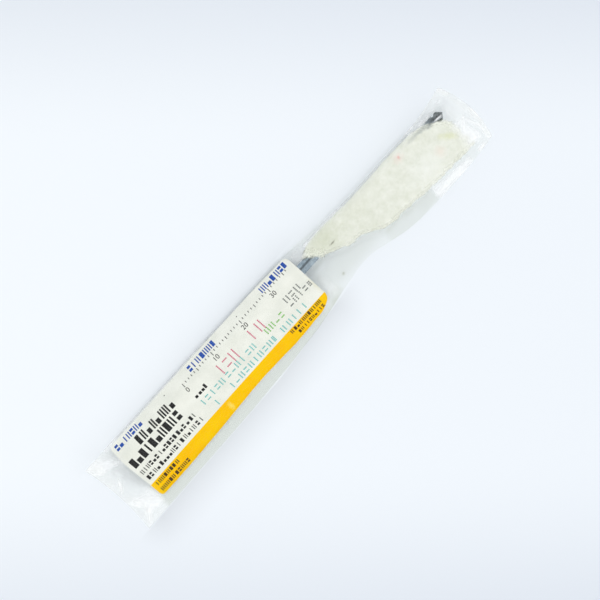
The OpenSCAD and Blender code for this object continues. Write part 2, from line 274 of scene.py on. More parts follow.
# Mask that is 1 at a place and fades to 0 at a distance from it, with a ragged border
def makeSpot():
    inputs = {"Place": "Vector", "Stretch": "Vector", "Radius": "Float", "Soft": "Float"}
    group, given, wanted = newGroup("spot", inputs, {"Mask": "Float"})
    raggedness = 0.9
    # The noise lies near 0.5, so the border is shifted out by half its share
    border = 1 + raggedness / 2
    place = ownPlace(group)
    away = doVector(group, "SUBTRACT", place, given["Place"])
    length = doVector(group, "LENGTH", doVector(group, "MULTIPLY", away, given["Stretch"]))
    share = doMath(group, "DIVIDE", length, given["Radius"])
    ragged = noiseOver(group, place, scale=1500.0, detail=2.0)
    shifted = doMath(group, "MULTIPLY_ADD", ragged, raggedness, share)
    inner = doMath(group, "SUBTRACT", border, given["Soft"])
    group.links.new(mapRange(group, shifted, (inner, border), (1.0, 0.0)), wanted["Mask"])
    return group


# Fine rings round the drill's axis, as a grinding wheel or a lathe leaves them
def makeGrind():
    inputs = {"Ring Scale": "Float", "Smear Scale": "Float"}
    group, given, wanted = newGroup("grind", inputs, {"Height": "Float", "Smear": "Float"})
    place = ownPlace(group)
    # The rings run round the axis, so the noise is stretched across it
    squeezed = doVector(group, "MULTIPLY", place, (1.0, 0.06, 0.06))
    group.links.new(noiseOver(group, squeezed, given["Ring Scale"], detail=3.0), wanted["Height"])
    group.links.new(noiseOver(group, place, given["Smear Scale"], detail=2.0), wanted["Smear"])
    return group


mottle = makeMottle()
spot = makeSpot()
grind = makeGrind()


def mottled(tree, colorA, colorB, blotch=350.0, speckle=2600.0, share=0.25):
    inputs = {"Color A": colorA, "Color B": colorB, "Blotch Scale": blotch, "Speckle Scale": speckle,
              "Speckle Share": share}
    return addNode(tree, "Group", inputs, node_tree=mottle).outputs["Color"]


# Lays coloured spots over a colour; each is (place in mm, stretch, radius in mm, soft, strength, colour)
def spotsOver(tree, color, spots):
    for place, stretch, radius, soft, strength, tint in spots:
        inputs = {"Place": [v * mm for v in place], "Stretch": stretch, "Radius": radius * mm, "Soft": soft}
        mask = addNode(tree, "Group", inputs, node_tree=spot).outputs[0]
        color = mixColors(tree, doMath(tree, "MULTIPLY", mask, strength), color, tint)
    return color


# Steel, ground or turned; towards the point of the drill it gets deeper in tone where a shade is given
def steelMaterial(name, dark, light, roughness, ringScale, ringHeight, shade=None):
    material, tree = newMaterial(name)
    marks = addNode(tree, "Group", {"Ring Scale": ringScale, "Smear Scale": 420.0}, node_tree=grind)
    color = mottled(tree, dark, light)
    if shade is not None:
        along = addNode(tree, "SeparateXYZ", {0: ownPlace(tree)}).outputs["X"]
        near = mapRange(tree, along, (shade["start"] * mm, shade["end"] * mm), kind="SMOOTHSTEP")
        color = mixColors(tree, near, color, shade["color"])
    rough = mapRange(tree, marks.outputs["Smear"], (0.0, 1.0), (roughness * 0.75, roughness * 1.35))
    closeTree(tree, addNode(tree, "BsdfPrincipled", {
        "Base Color": color, "Metallic": 1.0, "Roughness": rough,
        "Normal": bumpFrom(tree, marks.outputs["Height"], strength=0.35, distance=ringHeight)}))
    return material


def paperMaterial(name, colorA, colorB, spots, specular=0.35):
    material, tree = newMaterial(name)
    tone = mottled(tree, colorA, colorB, blotch=260.0, speckle=3800.0, share=0.4)
    color = spotsOver(tree, tone, spots)
    fibre = noiseOver(tree, ownPlace(tree), scale=2600.0, detail=4.0)
    closeTree(tree, addNode(tree, "BsdfPrincipled", {
        "Base Color": color, "Roughness": 0.72, "Specular IOR Level": specular,
        "Normal": bumpFrom(tree, fibre, strength=0.5, distance=0.012)}))
    return material


# Printed ink that lets some paper through where it is worn
def inkMaterial(name, color, worn):
    material, tree = newMaterial(name)
    tone = mottled(tree, color, worn, blotch=900.0, speckle=5200.0, share=0.6)
    closeTree(tree, addNode(tree, "BsdfPrincipled", {
        "Base Color": tone, "Roughness": 0.6, "Specular IOR Level": 0.35}))
    return material


# 1 for light that falls on what lies below, and 0 for what the eye sees
def fallingLight(tree):
    path = addNode(tree, "LightPath")
    return doMath(tree, "MAXIMUM", path.outputs["Is Shadow Ray"], path.outputs["Is Diffuse Ray"])


# Wadding thins out into loose fibres near its torn edges: the mask named torn is the way in from
# the nearest edge in millimetres
def waddingMaterial(name, s):
    material, tree = newMaterial(name)
    torn = addNode(tree, "Attribute", attribute_name="torn").outputs["Fac"]
    tone = mottled(tree, s["colorA"], s["colorB"], blotch=560.0, speckle=2400.0, share=0.4)
    color = spotsOver(tree, tone, s["spots"])
    place = ownPlace(tree)
    tangle = noiseOver(tree, place, scale=1500.0, detail=5.0, Roughness=0.65, Distortion=1.2)
    tufts = noiseOver(tree, place, scale=480.0, detail=2.0)
    hairs = noiseOver(tree, place, scale=3200.0, detail=3.0, Distortion=2.0)
    ragged = mapRange(tree, mixValues(tree, s["hairShare"], tufts, hairs), (0.34, 0.66), s["fuzzRange"])
    left = doMath(tree, "MULTIPLY_ADD", ragged, -s["fuzz"], torn)
    soft = s["fuzzSoft"] * s["fuzz"]
    dense = mapRange(tree, left, (-soft, soft), kind="SMOOTHSTEP")
    # Thin wadding lets some of the falling light through
    held = doMath(tree, "MULTIPLY_ADD", fallingLight(tree), -s["lightThrough"], 1.0)
    closeTree(tree, addNode(tree, "BsdfPrincipled", {
        "Base Color": color, "Roughness": 0.95, "Specular IOR Level": 0.15, "Sheen Weight": 0.15,
        "Sheen Roughness": 0.5, "Alpha": doMath(tree, "MULTIPLY", dense, held),
        "Normal": bumpFrom(tree, tangle, strength=0.8, distance=s["tangleHeight"])}))
    return material


# Clear film: see-through, with a gloss that grows as the surface turns away from the eye. Where the mask
# named crumple is high it gets a white layer, partly the haze of crumpled film and partly painted glare and
# painted light, and where the mask named shade is high it is deeper in tone, as painted shadow and one small
# dirt speck. The masks named crumple and shade are kept on the film's own mesh.
filmLook = dict(
    tint=(0.995, 0.996, 0.992, 1), shadeTint=(0.940, 0.943, 0.922, 1),
    glossRoughness=0.08, broadRoughness=0.3, broadShare=0.35,
    headOnGloss=0.005, crumpledGloss=0.04, edgeGloss=0.4, edgePower=4.0,
    hazeAndGlareColor=(0.98, 0.99, 1.0, 1), hazeAndGlareRange=(0.48, 0.8), bumpHeight=0.006,
)


def filmMaterial(name, s):
    material, tree = newMaterial(name)
    place = ownPlace(tree)
    crumple = addNode(tree, "Attribute", attribute_name="crumple").outputs["Fac"]
    shade = addNode(tree, "Attribute", attribute_name="shade").outputs["Fac"]
    ripple = noiseOver(tree, place, scale=420.0, detail=1.0, Distortion=0.6)
    bump = bumpFrom(tree, ripple, strength=0.5, distance=s["bumpHeight"])
    facing = addNode(tree, "LayerWeight", {"Blend": 0.5, "Normal": bump}).outputs["Facing"]
    turned = doMath(tree, "POWER", facing, s["edgePower"])
    headOn = mapRange(tree, crumple, (0.0, 1.0), (s["headOnGloss"], s["crumpledGloss"]))
    share = doMath(tree, "MULTIPLY_ADD", turned, s["edgeGloss"], headOn, clamp=True)
    # Painted shadow: the see-through colour is deeper in tone where the mask named shade is high
    clear = addNode(tree, "BsdfTransparent", {"Color": mixColors(tree, shade, s["tint"], s["shadeTint"])})
    sharp, broad = (addNode(tree, "BsdfGlossy", {"Roughness": s[rough], "Normal": bump})
                    for rough in ("glossRoughness", "broadRoughness"))
    # White layer: haze of crumpled film and painted glare and painted light, from the mask named crumple
    patchy = mapRange(tree, noiseOver(tree, place, scale=260.0, detail=1.0), (0.3, 0.7), s["hazeAndGlareRange"])
    hazeAndGlare = doMath(tree, "MULTIPLY", crumple, patchy, clamp=True)
    white = addNode(tree, "BsdfDiffuse", {"Color": s["hazeAndGlareColor"]})

    def mixed(level, first, second):
        return addNode(tree, "MixShader", {0: level, 1: first.outputs[0], 2: second.outputs[0]})

    shiny = mixed(share, clear, mixed(s["broadShare"], sharp, broad))
    # Light that falls through to the contents and the floor isn't held back
    closeTree(tree, mixed(fallingLight(tree), mixed(hazeAndGlare, shiny, white), clear))
    return material


# Mesh helpers
def makeMesh(name, points, faces, materials, body, replaced=(), sharpAngle=48, faceMaterials=None,
             masks=None):
    mesh = bpy.data.meshes.new(name)
    mesh.from_pydata((np.asarray(points) * mm).tolist(), [], faces)
    for material in materials:
        mesh.materials.append(material)
    if faceMaterials is not None:
        mesh.polygons.foreach_set("material_index", faceMaterials)
    for label, values in (masks or {}).items():
        mask = mesh.attributes.new(label, "FLOAT", "POINT")
        mask.data.foreach_set("value", np.ascontiguousarray(values, dtype=np.float32).ravel())
    mesh.validate()
    mesh.shade_smooth()
    mesh.set_sharp_from_angle(angle=math.radians(sharpAngle))
    piece = addObject(name, mesh)
    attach(piece, body)
    if replaced:
        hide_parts(*replaced)
    return piece


def gridFaces(rows, cols, start=0):
    i, j = np.meshgrid(np.arange(rows - 1), np.arange(cols - 1), indexing="ij")
    a = (start + i * cols + j).ravel()
    return np.stack([a, a + cols, a + cols + 1, a + 1], axis=1)


# Points and faces of a closed sheet between two grids of points, each rows by columns by 3
def closedSheet(lower, upper):
    rows, cols = upper.shape[:2]
    count = rows * cols
    points = np.concatenate([upper.reshape(-1, 3), lower.reshape(-1, 3)])
    rim = ([(0, j) for j in range(cols)] + [(i, cols - 1) for i in range(1, rows)]
           + [(rows - 1, j) for j in range(cols - 2, -1, -1)] + [(i, 0) for i in range(rows - 2, 0, -1)])
    ids = np.array([i * cols + j for i, j in rim])
    after = np.roll(ids, -1)
    side = np.stack([ids, after, after + count, ids + count], axis=1)
    faces = np.concatenate([gridFaces(rows, cols), gridFaces(rows, cols, count)[:, ::-1], side])
    return points, faces.tolist()


# Unit normals of a grid of points; they point up where rows run along X and columns along Y
def gridNormals(points):
    alongRows = np.gradient(points, axis=0)
    alongCols = np.gradient(points, axis=1)
    normal = np.cross(alongRows, alongCols)
    return normal / np.maximum(np.linalg.norm(normal, axis=2, keepdims=True), 1e-9)


# Search tree over a mesh, in millimetres
def meshTree(mesh):
    return BVHTree.FromPolygons([v.co / mm for v in mesh.vertices], [list(p.vertices) for p in mesh.polygons])


# Where a ray straight down from above all pieces meets a mesh, or None
def hitBelow(tree, x, y):
    return tree.ray_cast(Vector((x, y, 50)), Vector((0, 0, -1)))[0]


def castDown(tree, xs, ys, miss=0.0):
    heights = np.full(np.shape(xs), float(miss))
    for index in np.ndindex(np.shape(xs)):
        hit = hitBelow(tree, xs[index], ys[index])
        if hit is not None:
            heights[index] = hit.z
    return heights


def ease(t):
    u = np.clip(t, 0, 1)
    return u * u * (3 - 2 * u)


# Smooth noise from -1 to 1 with features of about the cell's size in mm
def noiseAt(x, y, cell, seed):
    size = 128
    table = np.random.default_rng(seed).uniform(-1, 1, (size, size))
    gx, gy = np.asarray(x) / cell + size / 2, np.asarray(y) / cell + size / 2
    ix, iy = np.floor(gx).astype(int), np.floor(gy).astype(int)
    fx, fy = ease(gx - ix), ease(gy - iy)
    ix, iy, jx, jy = ix % size, iy % size, (ix + 1) % size, (iy + 1) % size
    low = table[ix, iy] * (1 - fx) + table[jx, iy] * fx
    high = table[ix, jy] * (1 - fx) + table[jx, jy] * fx
    return low * (1 - fy) + high * fy


# Way walked along each row of steps, from 0
def walkedOver(steps):
    return np.pad(np.cumsum(steps, axis=-1), [(0, 0)] * (steps.ndim - 1) + [(1, 0)])


# Gaussian smoothing along one axis, with sigma counted in grid steps
def blur(values, sigma, axis):
    reach = max(1, int(3 * sigma))
    kernel = np.exp(-0.5 * (np.arange(-reach, reach + 1) / sigma) ** 2)
    kernel /= kernel.sum()
    moved = np.moveaxis(values, axis, -1)
    padded = np.pad(moved, [(0, 0)] * (moved.ndim - 1) + [(reach, reach)], mode="edge")
    out = sum(kernel[k] * padded[..., k:k + moved.shape[-1]] for k in range(2 * reach + 1))
    return np.moveaxis(out, -1, axis)


# Random heights from -1 to 1 joined by flat facets, as a crumpled film or paper has
def facetsAt(x, y, cell, seed, stretch=1.0):
    random = np.random.default_rng(seed)
    places = []
    for px in np.arange(x.min() - 2 * cell, x.max() + 2 * cell, cell * stretch):
        for py in np.arange(y.min() - 2 * cell, y.max() + 2 * cell, cell):
            dx, dy = random.uniform(-0.48, 0.48, 2)
            places.append(Vector((px + dx * cell * stretch, py + dy * cell)))
    verts, _, faces, *_ = geometry.delaunay_2d_cdt(places, [], [], 0, 1e-5)
    tree = BVHTree.FromPolygons([(v.x, v.y, random.uniform(-1, 1)) for v in verts], faces)
    return castDown(tree, x, y)


# Smooth curve through the (x, y) points of a table
def curveAt(table, x):
    px, py = np.array(table, float).T
    slope = np.gradient(py, px)
    slope[0] = (py[1] - py[0]) / (px[1] - px[0])
    slope[-1] = (py[-1] - py[-2]) / (px[-1] - px[-2])
    i = np.clip(np.searchsorted(px, x, side="right") - 1, 0, len(px) - 2)
    w = px[i + 1] - px[i]
    t = np.clip((np.asarray(x) - px[i]) / w, 0, 1)
    t2, t3 = t * t, t * t * t
    return ((2 * t3 - 3 * t2 + 1) * py[i] + (t3 - 2 * t2 + t) * w * slope[i]
            + (3 * t2 - 2 * t3) * py[i + 1] + (t3 - t2) * w * slope[i + 1])


# Places that the pieces share, read from the imported CAD parts
rodLow, rodHigh = (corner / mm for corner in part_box("drill_rod"))
filmLow, filmHigh = (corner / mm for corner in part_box("front_film"))
cardLow, cardHigh = (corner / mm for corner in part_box("card"))


# Drill and coupling keep their CAD shapes and get ground and turned steel
steelLook = dict(
    drill_rod=dict(
        name="ground_steel", dark=rgb(144, 160, 172), light=rgb(190, 203, 213), roughness=0.2,
        ringScale=2600.0, ringHeight=0.004, shade=dict(start=46, end=56, color=rgb(134, 139, 142)),
    ),
    coupling_hub=dict(
        name="turned_steel", dark=rgb(150, 153, 155), light=rgb(182, 185, 187), roughness=0.26,
        ringScale=3600.0, ringHeight=0.006,
    ),
)


def dressSteel(looks):
    for node, look in looks.items():
        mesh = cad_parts[node].data
        mesh.materials.clear()
        mesh.materials.append(steelMaterial(**look))
        mesh.shade_smooth()
        mesh.set_sharp_from_angle(angle=math.radians(32))


dressSteel(steelLook)
print("stage: drill and coupling")


# Printed card: bent over the coupling as the CAD card is, with a slightly wavy face
cardSettings = dict(
    # The section is taken across the CAD card at one station
    sectionX=-44, sectionFrom=-7.2, sectionTo=9.1, sectionSteps=180, smoothing=4,
    # Waves of the face, less on the plain part, and of the lower edge
    wave=0.05, plainWave=0.35, bandFrom=-1.5, bandOver=5, edgeWave=0.03, lowest=0.14,
    lowerEdge=[(-54.5, -7.35), (-48, -7.4), (-36, -7.15), (-26, -6.75), (-19.5, -6.5), (-12, -6.65),
               (-6, -6.85), (0, -6.6), (4, -6.3), (6.8, -5.1)],
    upperEdge=[(-54.5, 9.5), (-40, 9.5), (-20, 9.25), (0, 8.9), (6.8, 8.6)],
    bandTop=[(-54.5, -3.65), (-30, -3.55), (-10, -3.6), (6.8, -3.75)],
    thickness=0.25, corner=1.0, rows=190, bandCols=20, plainCols=84,
    paperA=rgb(233, 234, 225), paperB=rgb(246, 246, 238),
    yellowA=rgb(255, 192, 0), yellowB=rgb(255, 206, 0),
    # Painted glare: a lighter spot where the film over a crease in the yellow band catches the light
    creaseGlareSpot=((-27.8, -5.2, 0.9), (1.0, 0.5, 0.4), 0.75, 0.9, 0.8, rgb(255, 232, 120)),
    # Painted shade along the card's right end, where it turns down
    endShadeSpot=((6.9, -0.8, 2.6), (1.0, 0.3, 0.2), 1.2, 0.98, 0.6, rgb(222, 219, 190)),
)


# Where the card's upper face is, from its CAD solid
class CardShape:
    def __init__(self, s):
        self.s = s
        tree = meshTree(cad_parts["card"].data)
        inner = np.linspace(s["sectionFrom"], s["sectionTo"], s["sectionSteps"])
        heights = castDown(tree, np.full(inner.shape, float(s["sectionX"])), inner)
        # The section runs straight on past both ends, as steep as over its last few steps
        step, few = inner[1] - inner[0], 6
        reach = np.arange(1, 21)
        before = heights[0] - reach[::-1] * (heights[few] - heights[0]) / few
        after = heights[-1] + reach * (heights[-1] - heights[-1 - few]) / few
        self.ys = np.concatenate([inner[0] - reach[::-1] * step, inner, inner[-1] + reach * step])
        self.zs = blur(np.concatenate([before, heights, after]), s["smoothing"], 0)

    def top(self, x, y):
        nearBand = ease((self.s["bandFrom"] - np.asarray(y)) / self.s["bandOver"])
        wave = self.s["wave"] * (noiseAt(x, y, 7, 5) + 0.5 * noiseAt(x, y, 2.6, 6))
        return np.interp(y, self.ys, self.zs) + wave * (self.s["plainWave"] + nearBand)


cardShape = CardShape(cardSettings)


def makeCard(s):
    # Stations lie closer together near both ends, where the corners are rounded
    t = np.linspace(0, 1, s["rows"])
    xs = cardLow.x + (cardHigh.x - cardLow.x) * (0.75 * t + 0.25 * (0.5 - 0.5 * np.cos(math.pi * t)))
    inset = np.minimum(xs - xs[0], xs[-1] - xs)
    r = s["corner"]
    cut = np.where(inset < r, r - np.sqrt(np.maximum(r * r - (r - inset) ** 2, 0)), 0)
    lower = curveAt(s["lowerEdge"], xs) + cut + s["edgeWave"] * noiseAt(xs, xs * 0, 1.3, 8)
    upper = curveAt(s["upperEdge"], xs) - cut
    band = np.maximum(curveAt(s["bandTop"], xs), lower + 0.05)
    tBand = np.linspace(0, 1, s["bandCols"] + 1)
    tPlain = np.linspace(0, 1, s["plainCols"] + 1)[1:]
    lower, band, upper = lower[:, None], band[:, None], upper[:, None]
    y = np.concatenate([lower + tBand * (band - lower), band + tPlain * (upper - band)], axis=1)
    x = np.repeat(xs[:, None], y.shape[1], axis=1)
    top = np.stack([x, y, cardShape.top(x, y)], axis=2)
    bottom = top - gridNormals(top) * s["thickness"]
    bottom[..., 2] = np.maximum(bottom[..., 2], s["lowest"])
    points, faces = closedSheet(bottom, top)
    cols = y.shape[1]
    topFaces = (s["rows"] - 1) * (cols - 1)
    faceMaterials = np.zeros(len(faces), dtype=np.int32)
    faceMaterials[:topFaces] = np.where(np.arange(topFaces) % (cols - 1) < s["bandCols"], 1, 0)
    paper = paperMaterial("card_paper", s["paperA"], s["paperB"], [s["endShadeSpot"]])
    yellow = paperMaterial("card_yellow_ink", s["yellowA"], s["yellowB"], [s["creaseGlareSpot"]], specular=0.08)
    makeMesh("card_printed", points, faces, [paper, yellow], "card", ("card",),
             faceMaterials=faceMaterials)


makeCard(cardSettings)
print("stage: card")


# Print on the card: rows of plain marks and a millimetre scale
printSettings = dict(
    lift=0.02, cell=0.3, dotStep=0.4, dotRadius=0.19, seed=12,
    inks=dict(
        blue=(rgb(0, 62, 160), rgb(20, 84, 176)),
        black=(rgb(10, 10, 12), rgb(34, 34, 36)),
        grey=(rgb(96, 99, 98), rgb(130, 133, 130)),
        pink=(rgb(206, 74, 112), rgb(222, 120, 146)),
        teal=(rgb(98, 188, 186), rgb(136, 206, 202)),
        green=(rgb(108, 182, 74), rgb(146, 202, 116)),
        brown=(rgb(58, 36, 0), rgb(86, 58, 4)),
    ),
    # Marks: ink, their height, width, stroke and gap, then start, end and foot of each row of them
    rows=[
        ("blue", (1.5, 0.95, 0.3, 0.3), [(-53.5, -44.7, 7.35), (-28.2, -19.4, 7.1), (-3.1, 5.5, 6.85)]),
        ("black", (2.35, 1.1, 0.42, 0.32), [(-48.6, -36, 4.45)]),
        ("black", (2.4, 1.3, 0.45, 0.36), [(-53.6, -36.6, 1.5)]),
        ("black", (1.15, 0.7, 0.2, 0.3), [(-53.6, -34.2, -0.72), (-53.6, -34.2, -2.62)]),
        ("black", (1.2, 0.75, 0.15, 0.25), [(-31.8, -28, 1.85)]),
        ("brown", (0.95, 0.72, 0.24, 0.25), [(-53.5, -45.3, -5), (-53.5, -43.7, -6.7)]),
        ("brown", (0.9, 0.66, 0.22, 0.25), [(-5.5, 5.1, -4.8)]),
        ("brown", (0.75, 0.62, 0.2, 0.25), [(-4.1, 4.9, -6)]),
        ("pink", (2.8, 1.55, 0.34, 0.75), [(-23.8, -17, 0.9), (-12.9, -7.3, 0.9)]),
        ("teal", (1.55, 1.05, 0.26, 0.6), [(-32, -11.9, -0.6)]),
        ("teal", (1.5, 1.1, 0.26, 0.6), [(-29.9, -28.4, -3)]),
        ("teal", (1.5, 1.05, 0.26, 0.6), [(-24.5, -9, -3), (-6.6, 1.6, -3.1)]),
        ("green", (1.6, 1.05, 0.26, 0.6), [(-9.4, -2.6, -0.6)]),
        ("grey", (1.6, 1.2, 0.26, 0.6), [(-1, 4.2, 0.95)]),
        ("grey", (1.4, 1.05, 0.26, 0.6), [(-1, 6.3, -0.5)]),
    ],
    dotted=("pink", "teal", "green", "grey"),
    # Forms and gaps to draw from, and the least share of a mark that still fits at the end of a row
    kinds=("bar", "pair", "pair", "split", "block", "low"), gaps=(1, 1, 1, 1, 1.8), leastShare=0.6,
    specks=[(-36.5, 8.1, 0.14), (-11.3, 7.8, 0.13)],
    scaleStart=-31.6, scaleEnd=5.0, scaleTop=6.75, tick=0.5, fifthTick=0.8, tenthTick=1.05, tickWidth=0.17,
    numberHeight=1.2, numberGap=0.2, figureShare=0.7,
)


# Bars of a plain mark, each (left, foot, right, top), in a box of the given size
def markBars(kind, width, height, stroke):
    half = (width - stroke) / 2
    return {
        "block": [(0, 0, width, height)],
        "bar": [(half, 0, half + stroke, height)],
        "pair": [(0, 0, stroke, height), (width - stroke, 0, width, height)],
        "split": [(0, 0, width, 0.4 * height), (0, 0.6 * height, width, height)],
        "low": [(0, 0, width, 0.55 * height)],
    }[kind]


# Collects flat patches of one ink and lays them on the card's upper face
class InkSheet:
    def __init__(self, s):
        self.s = s
        self.points, self.faces = [], []

    def bar(self, x0, y0, x1, y1):
        across = max(1, math.ceil((x1 - x0) / self.s["cell"]))
        up = max(1, math.ceil((y1 - y0) / self.s["cell"]))
        start = len(self.points)
        for i in range(across + 1):
            for j in range(up + 1):
                self.points.append((x0 + (x1 - x0) * i / across, y0 + (y1 - y0) * j / up))
        self.faces += gridFaces(across + 1, up + 1, start).tolist()

    def disc(self, x, y, radius, sides=7):
        start = len(self.points)
        self.points.append((x, y))
        for k in range(sides):
            a = 2 * math.pi * k / sides
            self.points.append((x + radius * math.cos(a), y + radius * math.sin(a)))
        for k in range(sides):
            self.faces.append([start, start + 1 + k, start + 1 + (k + 1) % sides])

    # A triangle, halved across its longest side until it can follow the card's bend
    def patch(self, corners):
        sides = [math.dist(corners[i], corners[(i + 1) % 3]) for i in range(3)]
        k = sides.index(max(sides))
        if sides[k] > 1.5 * self.s["cell"]:
            a, b, c = corners[k], corners[(k + 1) % 3], corners[(k + 2) % 3]
            middle = ((a[0] + b[0]) / 2, (a[1] + b[1]) / 2)
            self.patch([a, middle, c])
            self.patch([middle, b, c])
        else:
            start = len(self.points)
            self.points += corners
            self.faces.append([start, start + 1, start + 2])

    def dots(self, x0, y0, x1, y1):
        wide, tall = x1 - x0, y1 - y0
        count = max(1, round(max(wide, tall) / self.s["dotStep"]))
        for k in range(count):
            along = (k + 0.5) / count
            x = x0 + wide * (along if wide > tall else 0.5)
            y = y0 + tall * (0.5 if wide > tall else along)
            self.disc(x, y, self.s["dotRadius"])

    def mark(self, kind, x, y, width, height, stroke, dotted):
        for x0, y0, x1, y1 in markBars(kind, width, height, stroke):
            draw = self.dots if dotted else self.bar
            draw(x + x0, y + y0, x + x1, y + y1)

    def build(self, name, material):
        plan = np.array(self.points, float)
        z = cardShape.top(plan[:, 0], plan[:, 1]) + self.s["lift"]
        makeMesh(name, np.column_stack([plan, z]), self.faces, [material], "card")


# Plain numbers under the scale, every ten millimetres
def addNumbers(sheet, s):
    foot = s["scaleTop"] - s["tenthTick"] - s["numberGap"] - s["numberHeight"]
    for k in range(int((s["scaleEnd"] - s["scaleStart"]) / 10) + 1):
        data = bpy.data.curves.new("number", "FONT")
        data.body = str(10 * k)
        data.size = s["numberHeight"] / s["figureShare"] * mm
        data.align_x = "CENTER"
        data.resolution_u = 3
        figure = addObject("number", data)
        bpy.context.view_layer.update()
        mesh = figure.to_mesh()
        mesh.calc_loop_triangles()
        plan = [(s["scaleStart"] + 10 * k + v.co.x / mm, foot + v.co.y / mm) for v in mesh.vertices]
        for triangle in mesh.loop_triangles:
            sheet.patch([plan[i] for i in triangle.vertices])
        figure.to_mesh_clear()
        bpy.data.objects.remove(figure)


def makePrint(s):
    random = np.random.default_rng(s["seed"])
    sheets = {ink: InkSheet(s) for ink in s["inks"]}
    for ink, (height, width, stroke, gap), places in s["rows"]:
        for x, end, foot in places:
            while x + s["leastShare"] * width < end:
                kind, room = random.choice(s["kinds"]), min(width, end - x)
                sheets[ink].mark(kind, x, foot, room, height, stroke, ink in s["dotted"])
                x += width + gap * random.choice(s["gaps"])
    for k in range(int(s["scaleEnd"] - s["scaleStart"]) + 1):
        length = s["tenthTick"] if k % 10 == 0 else s["fifthTick"] if k % 5 == 0 else s["tick"]
        x = s["scaleStart"] + k - s["tickWidth"] / 2
        sheets["black"].bar(x, s["scaleTop"] - length, x + s["tickWidth"], s["scaleTop"])
    addNumbers(sheets["black"], s)
    for x, y, radius in s["specks"]:
        sheets["black"].disc(x, y, radius)
    for ink, sheet in sheets.items():
        sheet.build("card_print_" + ink, inkMaterial("ink_" + ink, *s["inks"][ink]))


makePrint(printSettings)
print("stage: print")


# Wadding: three plies folded round the drill, creped and torn along their edges
waddingSettings = dict(
    # A ply's distance from the one inside it, its gap to the drill, its CAD thickness and its own, where
    # its lower part ends, its lowest inner and outer face, and its length round for the crumples
    step=0.28, gap=0.1, ply=0.25, thickness=0.17, baseEnd=-8, lowest=(0.14, 0.2), girth=26,
    rise=[(2.6, 3.74), (1.2, 3.12), (-0.6, 2.38), (-2.6, 1.74), (-4.6, 1.34), (-6.4, 1.22), (-8, 1.2)],
    edge=[(8, 2.5), (12.5, 2.3), (15.5, 1.4), (19, -0.5), (22.3, -1), (25, -2.4), (27.5, -3.9),
          (34.8, -4.9), (41, -5.8), (56, -6.3)],
    foldY=7, backFrom=2.3,
    frontEdge=[(-7, 56.8), (-3, 56.5), (0, 56.1), (2, 55.5), (3.2, 54.1), (3.8, 52.9), (4.3, 52.1), (5, 51.1),
               (5.8, 49.6), (7, 48.4)],
    bulge=[(8, 0.1), (11, 0.6), (13, 0.9), (17, 1.05), (20, 0.85), (24, 0.55), (32, 0.4), (40, 0.3),
           (46, 0.15), (50, 0), (56, 0)],
    crepe=0.06, crumple=0.1, dent=0.08, inward=0.12, fibre=0.14, tear=0.3, spread=0.6, endFade=0.7,
    # Width of the loose fibres, the shares of it that they reach, how soft they end, the share of the
    # finest ones, and how much of the falling light comes through
    fuzz=1.5, fuzzRange=(0.28, 0.84), fuzzSoft=0.3, hairShare=0.45, lightThrough=0.92,
    colorA=rgb(229, 231, 218), colorB=rgb(243, 244, 235), tangleHeight=0.16,
    plies=[
        dict(name="wadding_inner", level=0, back=8.9, backSkew=3.2,
             ahead=0.5, reach=0.25, rows=150, cols=90, seed=3),
        dict(name="wadding_middle", level=1, back=10.1, backSkew=2.8,
             ahead=0.2, reach=0, rows=150, cols=90, seed=17),
        dict(name="wadding_outer", level=2, back=11.4, backSkew=2.6,
             ahead=-0.5, reach=-0.25, rows=280, cols=130, seed=29),
    ],
    # Pressed creases in the upper ply: line in plan, half width, depth
    creases=[
        ([(33.1, -1.8), (32.9, -4.3)], 0.45, -0.2),
        ([(15.7, 2.5), (17.4, 2.65)], 0.4, -0.3),
        ([(15.8, 3.05), (17.3, 3.1)], 0.35, 0.16),
        ([(51.6, 0.7), (54.2, -1.6), (56, -3.2)], 0.7, -0.2),
        ([(24, 3.2), (26.5, 1.2)], 0.5, -0.08),
        ([(20, 5), (22.6, 3.6)], 0.5, -0.08),
    ],
    spots=[
        ((41.9, 4.35, 4.6), (1, 1, 0.5), 0.45, 0.7, 0.6, rgb(236, 150, 150)),
        ((41.6, 4.3, 4.5), (0.7, 0.8, 0.5), 1.3, 0.98, 0.35, rgb(243, 205, 198)),
        ((49.6, -2, 2.6), (0.6, 0.6, 0.3), 1.1, 0.95, 0.35, rgb(244, 212, 196)),
        ((52.2, 0.2, 3), (0.8, 0.8, 0.3), 0.9, 0.98, 0.45, rgb(226, 228, 186)),
        ((53.1, -0.6, 2.5), (0.8, 0.8, 0.3), 1, 0.98, 0.5, rgb(222, 225, 172)),
        ((54, -1.4, 2.2), (0.8, 0.8, 0.3), 1, 0.98, 0.5, rgb(222, 225, 172)),
        ((54.8, -2.2, 2.2), (0.8, 0.8, 0.3), 0.9, 0.98, 0.45, rgb(226, 228, 182)),
        # Painted shade: the next three spots darken the wadding where the drill lies close under it
        ((48.6, 4.9, 4.6), (0.2, 1, 0.4), 0.8, 0.98, 0.55, rgb(172, 178, 174)),
        ((51, 4.6, 4.6), (0.3, 0.9, 0.4), 0.8, 0.98, 0.7, rgb(160, 166, 164)),
        ((52.3, 4, 4.4), (0.5, 0.7, 0.4), 0.7, 0.98, 0.7, rgb(150, 156, 156)),
        ((16, 4.6, 4.4), (0.4, 0.6, 0.3), 2.9, 0.98, 0.7, rgb(212, 216, 194)),
        ((26, 3, 4), (0.4, 0.6, 0.3), 2.2, 0.98, 0.3, rgb(222, 224, 206)),
        ((45, -2.6, 2.2), (0.4, 0.6, 0.3), 3, 0.98, 0.6, rgb(250, 251, 247)),
        # Painted shadow in the small tear that the creases above press in
        ((16.6, 2.55, 4.2), (0.5, 1.9, 0.5), 0.5, 0.6, 0.7, rgb(140, 137, 122)),
    ],
)


